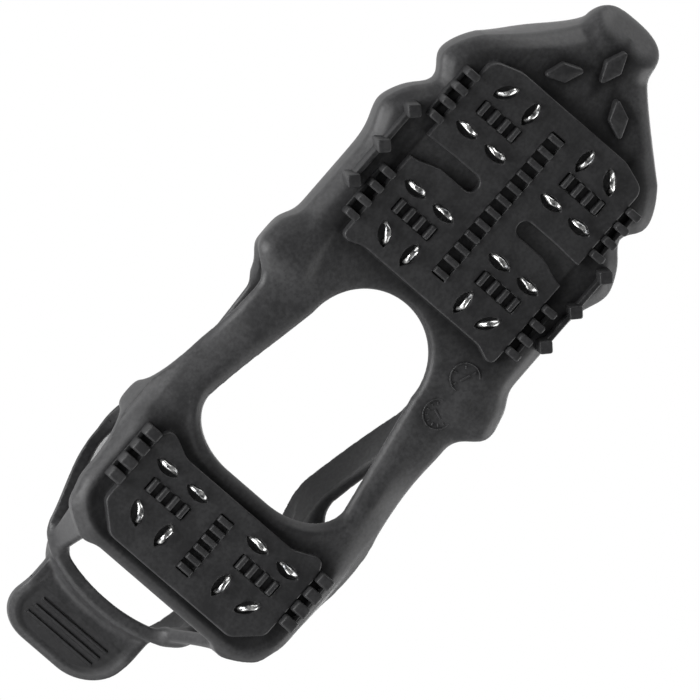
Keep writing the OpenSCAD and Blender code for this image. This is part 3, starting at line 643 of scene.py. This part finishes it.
# Ribs and bars: short grip ribs of the tread rubber, moulded with the plates. Four ribs stand between the
# staples of each group, and a column of cross bars runs along the middle of each plate.
rib_long, rib_wide, rib_pitch, rib_count = 4.7, 1.8, 3.9, 4
bar_long, bar_wide = 5.0, 2.1
rib_root, rib_tip, rib_tip_r = 5.4, 1.9, 0.7

# Number and spacing of the bars in each column
fore_bars, heel_bars = (12, 4.5), (6, 3.45)


def block(corners, r, levels):
    """Convex block: its outline with corners of radius r, carried through levels of (inset, z) from root to
    tip."""
    corners = np.array(corners, float)
    edge = np.roll(corners, -1, axis=0) - corners
    edge /= np.linalg.norm(edge, axis=1)[:, None]
    out = np.column_stack([edge[:, 1], -edge[:, 0]])
    prior = np.roll(out, 1, axis=0)
    inwards = (out + prior) / (1 + (out * prior).sum(axis=1))[:, None]
    start, end = np.arctan2(prior[:, 1], prior[:, 0]), np.arctan2(out[:, 1], out[:, 0])
    sweep = start[:, None] + np.mod(end - start, 2 * np.pi)[:, None] * np.linspace(0, 1, 4)
    fan = np.stack([np.cos(sweep), np.sin(sweep)], axis=-1)
    n = sweep.size
    rings = []
    for inset, z in levels:
        flat = (corners - max(r, inset) * inwards)[:, None] + max(r - inset, 0.02) * fan
        rings.append(np.column_stack([flat.reshape(-1, 2), np.full(n, z)]))
    here = np.arange(n)
    after = np.roll(here, -1)
    faces = [np.stack([here + n * i, here + n * (i + 1), after + n * (i + 1), after + n * i], axis=1)
             for i in range(len(levels) - 1)]
    points = np.vstack(rings + [rings[0].mean(axis=0), rings[-1].mean(axis=0)])
    tip, middle = n * (len(levels) - 1), n * len(levels)
    caps = np.vstack([np.stack([np.full(n, middle), here, after], axis=1),
                      np.stack([np.full(n, middle + 1), after + tip, here + tip], axis=1)])
    return points, np.vstack(faces), caps


def box_corners(x, y, length, width, turn=0.0):
    """Corners of a rectangle round (x, y), counter-clockwise."""
    c, s = math.cos(turn), math.sin(turn)
    local = np.array([[-1, -1], [1, -1], [1, 1], [-1, 1]]) * [length / 2, width / 2]
    return local @ np.array([[c, s], [-s, c]]) + [x, y]


def round_tip(root, tip, r):
    """Levels from a root to a tip below it, with the tip's edge rounded to radius r and a slight draft."""
    a = np.linspace(0, np.pi / 2, 5)
    return [(0, root)] + [(0.06 + r * (1 - math.cos(t)), tip + r * (1 - math.sin(t))) for t in a]


def blocks(name, shapes, material, body, slot, *nodes):
    """One piece of many blocks: their points one after another, with all faces turned outwards."""
    points, faces, total = [], [], 0
    for p, q, t in shapes:
        points.append(p)
        faces += (q + total).tolist() + (t + total).tolist()
        total += len(p)
    mesh = bpy.data.meshes.new(name)
    mesh.from_pydata(((np.vstack(points) + [waist_x, 0, 0]) / 1000).tolist(), [], faces)
    work = bmesh.new()
    work.from_mesh(mesh)
    bmesh.ops.recalc_face_normals(work, faces=work.faces)
    work.to_mesh(mesh)
    work.free()
    mesh.shade_smooth()
    mesh.set_sharp_from_angle(angle=math.radians(40))
    obj = bpy.data.objects.new(name, mesh)
    bpy.context.scene.collection.objects.link(obj)
    obj.data.materials.append(material)
    if nodes:
        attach(obj, body)
        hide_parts(*nodes)
    return obj


def row(middle, count, pitch):
    """Places of a row about its middle."""
    return [middle + (i - (count - 1) / 2) * pitch for i in range(count)]


def rib_shapes(pair_x, way):
    """A row of ribs on each side between a group's cross pair and its single staples."""
    x, levels = pair_x + way * rib_shift, round_tip(rib_root, rib_tip, rib_tip_r)
    return [block(box_corners(x, side * y, rib_long, rib_wide), 0.35, levels)
            for side in (1, -1) for y in row(rib_share * plate_half(pair_x), rib_count, rib_pitch)]


def bar_shapes(middle, count, pitch):
    """Cross bars along the middle line."""
    levels = round_tip(rib_root, rib_tip, rib_tip_r)
    return [block(box_corners(x, 0, bar_wide, bar_long), 0.35, levels) for x in row(middle, count, pitch)]


def rib_hollow(x, y, z):
    """Painted shade on a rib's flanks: rises from its tip to its root."""
    return 0.7 * ease((z - 2.2) / 3)


fore_shapes = rib_shapes(*groups["rear"]) + rib_shapes(*groups["front"])
fore_shapes += bar_shapes(fore_column[0], *fore_bars)
fore_ribs = blocks("forefoot_ribs_and_bars", fore_shapes, plate_rubber, "forefoot", "tread_rubber",
                   "rear_ribs", "front_ribs", "forefoot_bars")
heel_shapes = rib_shapes(*groups["heel"]) + bar_shapes(heel_column[0], *heel_bars)
heel_ribs = blocks("heel_ribs_and_bars", heel_shapes, plate_rubber, "heel", "tread_rubber",
                   "heel_ribs", "heel_bars")
# Painted shade on the flanks of the ribs and bars
mark_hollows(fore_ribs, rib_hollow)
mark_hollows(heel_ribs, rib_hollow)

# Edge lugs: rows of four blocks moulded on the carcass against the plates' sides, joined along their outer ends
# by a low rail. They stand almost to the ground.
lug_pitch, lug_count, lug_rail_wide = 5.2, 4, 1.6
lug_root, lug_tip, lug_rail_tip = 8.6, 0.6, 5.0

# Middles of the rows, and each lug's length along the foot and width across it
rear_lugs_x, front_lugs_x, heel_lugs_x = 43.95, 80.25, -55.2
fore_lug, heel_lug = (2.5, 4.4), (3.7, 4.8)


def lug_shapes(middle, length, width):
    """A row of lugs on each side against the plate's edge, with its rail."""
    edge, rail_long = plate_half(middle), (lug_count - 1) * lug_pitch + length
    levels = round_tip(lug_root, lug_tip, 0.22 * length)
    shapes = []
    for side in (1, -1):
        lug_y, rail_y = side * (edge + width / 2), side * (edge + width - lug_rail_wide / 2)
        shapes += [block(box_corners(x, lug_y, length, width), 0.8, levels)
                   for x in row(middle, lug_count, lug_pitch)]
        rail = box_corners(middle, rail_y, rail_long, lug_rail_wide)
        shapes.append(block(rail, 0.5, round_tip(lug_root, lug_rail_tip, 0.4)))
    return shapes


def lug_hollow(x, y, z):
    """Painted shade on a lug: 0.2 at its tip, rising towards its root."""
    return 0.2 + 0.35 * ease((z - 1.5) / 4)


fore_shapes = lug_shapes(rear_lugs_x, *fore_lug) + lug_shapes(front_lugs_x, *fore_lug)
fore_lugs = blocks("forefoot_edge_lugs", fore_shapes, carcass_rubber, "forefoot", "carcass_rubber",
                   "rear_left_lugs", "rear_right_lugs", "front_left_lugs", "front_right_lugs")
heel_lugs = blocks("heel_edge_lugs", lug_shapes(heel_lugs_x, *heel_lug), carcass_rubber, "heel",
                   "carcass_rubber", "heel_left_lugs", "heel_right_lugs")
# Painted shade on the lugs and their rails, deeper towards their roots
mark_hollows(fore_lugs, lug_hollow)
mark_hollows(heel_lugs, lug_hollow)

# Stud rails: three corner-on studs on a thin rail along each edge of the ball, of the carcass's own rubber and
# moulded on it. The studs stand a little higher off the ground than the lugs.
stud_x, stud_y, stud_pitch, stud_count, stud_size = 56.65, 37.6, 13.0, 3, 4.0
stud_tip, stud_rail_tip, stud_rail_wide = 1.4, 3.6, 1.8
stud_shapes = []
for side in (1, -1):
    stud_shapes += [block(box_corners(x, side * stud_y, stud_size, stud_size, math.pi / 4), 0.8,
                          round_tip(lug_root, stud_tip, 0.5)) for x in row(stud_x, stud_count, stud_pitch)]
    rail = box_corners(stud_x, side * stud_y, (stud_count - 1) * stud_pitch, stud_rail_wide)
    stud_shapes.append(block(rail, 0.5, round_tip(lug_root, stud_rail_tip, 0.5)))
studs = blocks("stud_rails", stud_shapes, carcass_rubber, "forefoot", "carcass_rubber", "stud_rail_left",
               "stud_rail_right")
# Painted shade: the studs and their rails are darkened evenly by 0.25
mark_hollows(studs, 0.25)

# Toe lugs: three diamond lugs under the toe, of the carcass's own rubber and moulded on it, with steep flanks
# and a bevel round each flat tip. The web carries painted shade, darkest close to them and to the plates.
toe_lug_a, toe_lug_b = 7.0, 3.0

# x, y, turn and the height of the web's underside for each toe lug
toe_places = [(105.6, 10.6, -math.pi / 4, 7), (105.6, -10.6, math.pi / 4, 7), (115.8, 0, 0, 8.75)]


def toe_lug(x, y, turn, seat):
    """Diamond with half diagonals a and b and rounded points: steep flanks, and a bevel to the flat tip 3 mm
    below the web."""
    c, s = math.cos(turn), math.sin(turn)
    local = np.array([[toe_lug_a, 0], [0, toe_lug_b], [-toe_lug_a, 0], [0, -toe_lug_b]])
    levels = [(0, seat + 2.6), (0.1, seat - 2.4), (0.25, seat - 2.8), (0.6, seat - 3)]
    return block(local @ np.array([[c, s], [-s, c]]) + [x, y], 0.9, levels)


def toe_lug_gap(x, y):
    """Plan distance to the nearest toe lug: (|u| / a + |v| / b - 1) times ab / hypot(a, b), in the lug's own
    directions."""
    gap = np.full(np.broadcast(x, y).shape, 99.0)
    slant = toe_lug_a * toe_lug_b / math.hypot(toe_lug_a, toe_lug_b)
    for px, py, turn, _ in toe_places:
        u = (x - px) * math.cos(turn) + (y - py) * math.sin(turn)
        v = (y - py) * math.cos(turn) - (x - px) * math.sin(turn)
        gap = np.minimum(gap, (np.abs(u) / toe_lug_a + np.abs(v) / toe_lug_b - 1) * slant)
    return gap


def carcass_hollow(x, y, z):
    """Painted shade: bells of 5 mm round the plates and 2 mm round the toe lugs on the web's underside, and
    shade on the side bands and in the tab's dish."""
    plates_gap = np.minimum(look_up(fore_plan, x, y), look_up(heel_plan, x, y))
    band = 0.4 * ease((z - 24) / 12) * ease((10 - x) / 12) * ease((x + 88) / 20)
    dish = 0.6 * ease((-1.5 - tab_plan(tab_place(x, z)[0], y)) / 3) * ease((-97 - x) / 7)
    web = np.maximum(0.55 * bump(plates_gap, 5), 0.6 * bump(np.maximum(toe_lug_gap(x, y), 0), 2))
    return np.where((plates_gap > 0) & (z < 12), web, band + dish)


toe_lugs = blocks("toe_lugs_moulded", [toe_lug(*place) for place in toe_places], carcass_rubber, "forefoot",
                  "carcass_rubber", "toe_lugs")
# Painted shade: the toe lugs are darkened evenly by 0.3
mark_hollows(toe_lugs, 0.3)
# Painted shade over the carcass, the back struts, the heel strap and the tab
for obj in (carcass, struts, strap, tab):
    mark_hollows(obj, carcass_hollow)

# Mould dials: two date inserts of the mould left round prints on the web, on the left side behind the plate.
# Here each is a plain ring with ticks and a pointer.


def dial(x, y, ticks, turn):
    """Ring of radius 4.5 in 32 short pieces, ticks within it and a pointer, all standing 0.4 mm off the web."""
    levels = [(0, 6.5), (0, 5.68), (0.08, 5.6)]
    places = [(4.35, 0.35, 0.84, 2 * math.pi * i / 32) for i in range(32)]
    places += [(3.2, 0.9, 0.35, 2 * math.pi * i / ticks + turn) for i in range(ticks)]
    shapes = [block(box_corners(x + r * math.cos(a), y + r * math.sin(a), length, width, a), 0.1, levels)
              for r, length, width, a in places]
    return shapes + [block(box_corners(x, y, 3.2, 0.5, turn), 0.15, levels)]


dials = blocks("mould_dials", dial(22.1, 26.7, 6, 0.4) + dial(9.3, 27.6, 12, 1.9), carcass_rubber, "forefoot",
               "carcass_rubber")
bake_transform(dials)

# Staples: bent lengths of steel wire, moulded into the plates with their crowns standing out as ice spikes.
# The crowns are worn bright and flat from walking.
crown_r, crown_middle, leg_end = 2.8, 3.45, 5.6


def staple(x, y, turn, seed):
    """Wire of 1.3 mm swept along a half ring of radius 2.8 and two legs: widest at its crown, worn flat and
    leaning by a different amount for each seed."""
    a = np.linspace(0, np.pi, 21)
    along = np.concatenate([[-crown_r], -crown_r * np.cos(a), [crown_r]])
    height = np.concatenate([[leg_end], crown_middle - crown_r * np.sin(a), [leg_end]])
    lean = np.concatenate([[0], a, [np.pi]])
    ring = np.linspace(0, 2 * np.pi, 14, endpoint=False)
    swell = 0.45 + 0.36 * np.sin(lean) + 0.05 * np.sin(4.1 * lean + seed)
    across = swell[:, None] * np.sign(np.cos(ring)) * np.abs(np.cos(ring)) ** 0.8
    off = 0.62 * np.sign(np.sin(ring)) * np.abs(np.sin(ring)) ** 0.8
    crown = np.sin(lean)[:, None]
    px = along[:, None] - off * np.cos(lean)[:, None]
    pz = height[:, None] - off * crown + 0.35 * math.sin(seed * 1.7) * across * crown
    pz = np.maximum(pz, 0.16 + 0.06 * np.sin(2.3 * px + seed))
    across = across + 0.15 * np.sin(1.1 * px + seed)
    c, s = math.cos(turn), math.sin(turn)
    points = np.stack([x + px * c - across * s, y + px * s + across * c, pz], axis=-1)
    m, n = len(along), len(ring)
    i, j = np.meshgrid(np.arange(m - 1), np.arange(n), indexing="ij")
    k = (j + 1) % n
    quads = np.stack([i * n + j, i * n + k, (i + 1) * n + k, (i + 1) * n + j], axis=-1).reshape(-1, 4)
    centre = points[[0, -1]].mean(axis=1)
    here = np.arange(n)
    after, last = np.roll(here, -1), (m - 1) * n
    caps = np.vstack([np.stack([np.full(n, m * n), here, after], axis=1),
                      np.stack([np.full(n, m * n + 1), after + last, here + last], axis=1)])
    return np.vstack([points.reshape(-1, 3), centre]), quads, caps


def worn_steel(name):
    """Drawn steel wire, beaten bright by walking: facets of about 1.8 mm, scratches of 0.4 mm and dull patches
    of 1.6 mm."""
    mat = bpy.data.materials.new(name)
    mat.use_nodes = True
    tree = mat.node_tree
    shader = tree.nodes["Principled BSDF"]
    place = add(tree, "ShaderNodeTexCoord").outputs["Object"]
    stretch = add(tree, "ShaderNodeMapping", {"Vector": place, "Scale": (1.0, 0.35, 1.0)})
    scratch = add(tree, "ShaderNodeTexNoise", {"Vector": stretch.outputs[0], "Scale": 1 / 0.0004,
                                               "Detail": 3.0})
    dull = add(tree, "ShaderNodeTexNoise", {"Vector": place, "Scale": 1 / 0.0016, "Detail": 2.0})
    facet = add(tree, "ShaderNodeTexVoronoi", {"Vector": place, "Scale": 1 / 0.0018})
    shade = add(tree, "ShaderNodeMapRange", {"Value": dull.outputs["Fac"], "From Min": 0.35, "From Max": 0.6})
    colour = add(tree, "ShaderNodeMix", {0: shade.outputs[0], 6: linear("#6d6e70"), 7: linear("#f2f2f0")},
                 data_type="RGBA")
    matt = add(tree, "ShaderNodeMapRange", {"Value": scratch.outputs["Fac"], "From Min": 0.3, "From Max": 0.7,
                                            "To Min": 0.18, "To Max": 0.42})
    beaten = add(tree, "ShaderNodeBump", {"Height": facet.outputs["Distance"], "Strength": 0.35,
                                          "Distance": 0.0006})
    relief = add(tree, "ShaderNodeBump", {"Height": scratch.outputs["Fac"], "Strength": 0.15,
                                          "Distance": 0.0001, "Normal": beaten.outputs[0]})
    tree.links.new(colour.outputs[2], shader.inputs["Base Color"])
    tree.links.new(matt.outputs[0], shader.inputs["Roughness"])
    tree.links.new(relief.outputs[0], shader.inputs["Normal"])
    shader.inputs["Metallic"].default_value = 1.0
    return mat


steel = worn_steel("staple_wire_worn_steel")
for body, names in (("forefoot", ("rear", "front")), ("heel", ("heel",))):
    shapes, nodes = [], []
    for name in names:
        for side, label in ((1, "left"), (-1, "right")):
            for i, (x, y, turn) in enumerate(staple_places(*groups[name])):
                shapes.append(staple(x, side * y, side * turn, len(shapes) * 1.9))
                nodes.append(f"{name}_{label}_staple_{i + 1}")
    blocks(body + "_staples", shapes, steel, body, "staple_steel", *nodes)

# Studio: white surroundings, soft light from above and below, and a camera under the sole at the photograph's
# angle, far off with a long lens. The floor is a clear sheet before the white surroundings, so that a heel bent
# down through it still shows. Seen from above it darkens where the object closes it in, and it lights nothing.
floor_mesh = bpy.data.meshes.new("floor")
floor_mesh.from_pydata([(-2, -2, 0), (2, -2, 0), (2, 2, 0), (-2, 2, 0)], [], [(0, 1, 2, 3)])
floor = bpy.data.objects.new("floor", floor_mesh)
bpy.context.scene.collection.objects.link(floor)
floor.visible_diffuse = floor.visible_glossy = floor.visible_shadow = False
sheet = bpy.data.materials.new("floor_clear_sheet")
sheet.use_nodes = True
tree = sheet.node_tree
tree.nodes.remove(tree.nodes["Principled BSDF"])
# Painted shadow: the sheet's tint darkens by ambient occlusion where the object closes it in, not by any lamp
open_air = add(tree, "ShaderNodeAmbientOcclusion", {"Distance": 0.12}, samples=8)
shade = add(tree, "ShaderNodeMix", {0: open_air.outputs["AO"], 6: linear("#6f6f70"), 7: linear("#ffffff")},
            data_type="RGBA")
side_seen = add(tree, "ShaderNodeNewGeometry")
tint = add(tree, "ShaderNodeMix", {0: side_seen.outputs["Backfacing"], 6: shade.outputs[2],
                                   7: linear("#ffffff")}, data_type="RGBA")
clear = add(tree, "ShaderNodeBsdfTransparent", {"Color": tint.outputs[2]})
tree.links.new(clear.outputs[0], tree.nodes["Material Output"].inputs["Surface"])
floor.data.materials.append(sheet)

# White for the camera and for reflections of what lies above, dim for all other light
world = bpy.data.worlds.new("studio")
world.use_nodes = True
tree = world.node_tree
tree.nodes.clear()
rays = add(tree, "ShaderNodeLightPath")
towards = add(tree, "ShaderNodeSeparateXYZ", {0: add(tree, "ShaderNodeTexCoord").outputs["Generated"]})
height = add(tree, "ShaderNodeMapRange", {"Value": towards.outputs["Z"], "From Min": -0.1, "From Max": 0.3})
shown = add(tree, "ShaderNodeMath", {0: rays.outputs["Is Glossy Ray"], 1: height.outputs[0]},
            operation="MULTIPLY")
seen = add(tree, "ShaderNodeMath", {0: rays.outputs["Is Camera Ray"], 1: shown.outputs[0]},
           operation="MAXIMUM")
level = add(tree, "ShaderNodeMix", {0: seen.outputs[0], 2: 0.15, 3: 1.0})
sky = add(tree, "ShaderNodeBackground", {"Color": (1, 1, 1, 1), "Strength": level.outputs[0]})
add(tree, "ShaderNodeOutputWorld", {"Surface": sky.outputs[0]})
bpy.context.scene.world = world


def softbox(name, place, size, power):
    """Square area lamp that faces the object's middle."""
    lamp = bpy.data.lights.new(name, "AREA")
    lamp.size, lamp.energy = size, power
    obj = bpy.data.objects.new(name, lamp)
    obj.location = place
    obj.rotation_euler = (Vector((0, 0, 0.02)) - Vector(place)).to_track_quat("-Z", "Y").to_euler()
    obj.visible_camera = False
    bpy.context.scene.collection.objects.link(obj)


softbox("lamp_right_side", (-0.4, -0.78, -0.22), 0.7, 15)
softbox("lamp_left_side", (0.1, 0.9, -0.15), 0.8, 7)
softbox("lamp_toe", (0.9, -0.15, -0.05), 0.8, 6)
softbox("lamp_heel", (-0.9, 0.1, -0.15), 0.8, 1.6)
softbox("lamp_below", (-0.6, -0.05, -0.36), 0.5, 2.2)
softbox("lamp_above", (0.2, 0.6, 1.1), 0.8, 6)

# The camera's directions: the sole leans by 17.5 degrees about its long axis, and the picture is rolled by 49.1
lean, roll = math.radians(17.5), math.radians(49.1)
right = np.array([math.cos(roll), math.sin(roll) * math.cos(lean), -math.sin(roll) * math.sin(lean)])
up = np.array([math.sin(roll), -math.cos(roll) * math.cos(lean), math.cos(roll) * math.sin(lean)])
back = np.cross(right, up)
distance, frame_width = 8.0, 0.1975
aim = np.array([(6.8 + waist_x) / 1000, -0.0064, 0])
camera = bpy.data.cameras.new("photo_camera")
camera.sensor_width = 36
camera.lens = 36 * distance / frame_width
camera_object = bpy.data.objects.new("photo_camera", camera)
place = aim + back * distance
camera_object.matrix_world = Matrix([[right[i], up[i], back[i], place[i]] for i in range(3)] + [[0, 0, 0, 1]])
bpy.context.scene.collection.objects.link(camera_object)
bpy.context.scene.camera = camera_object
bpy.context.scene.view_settings.view_transform = "Standard"
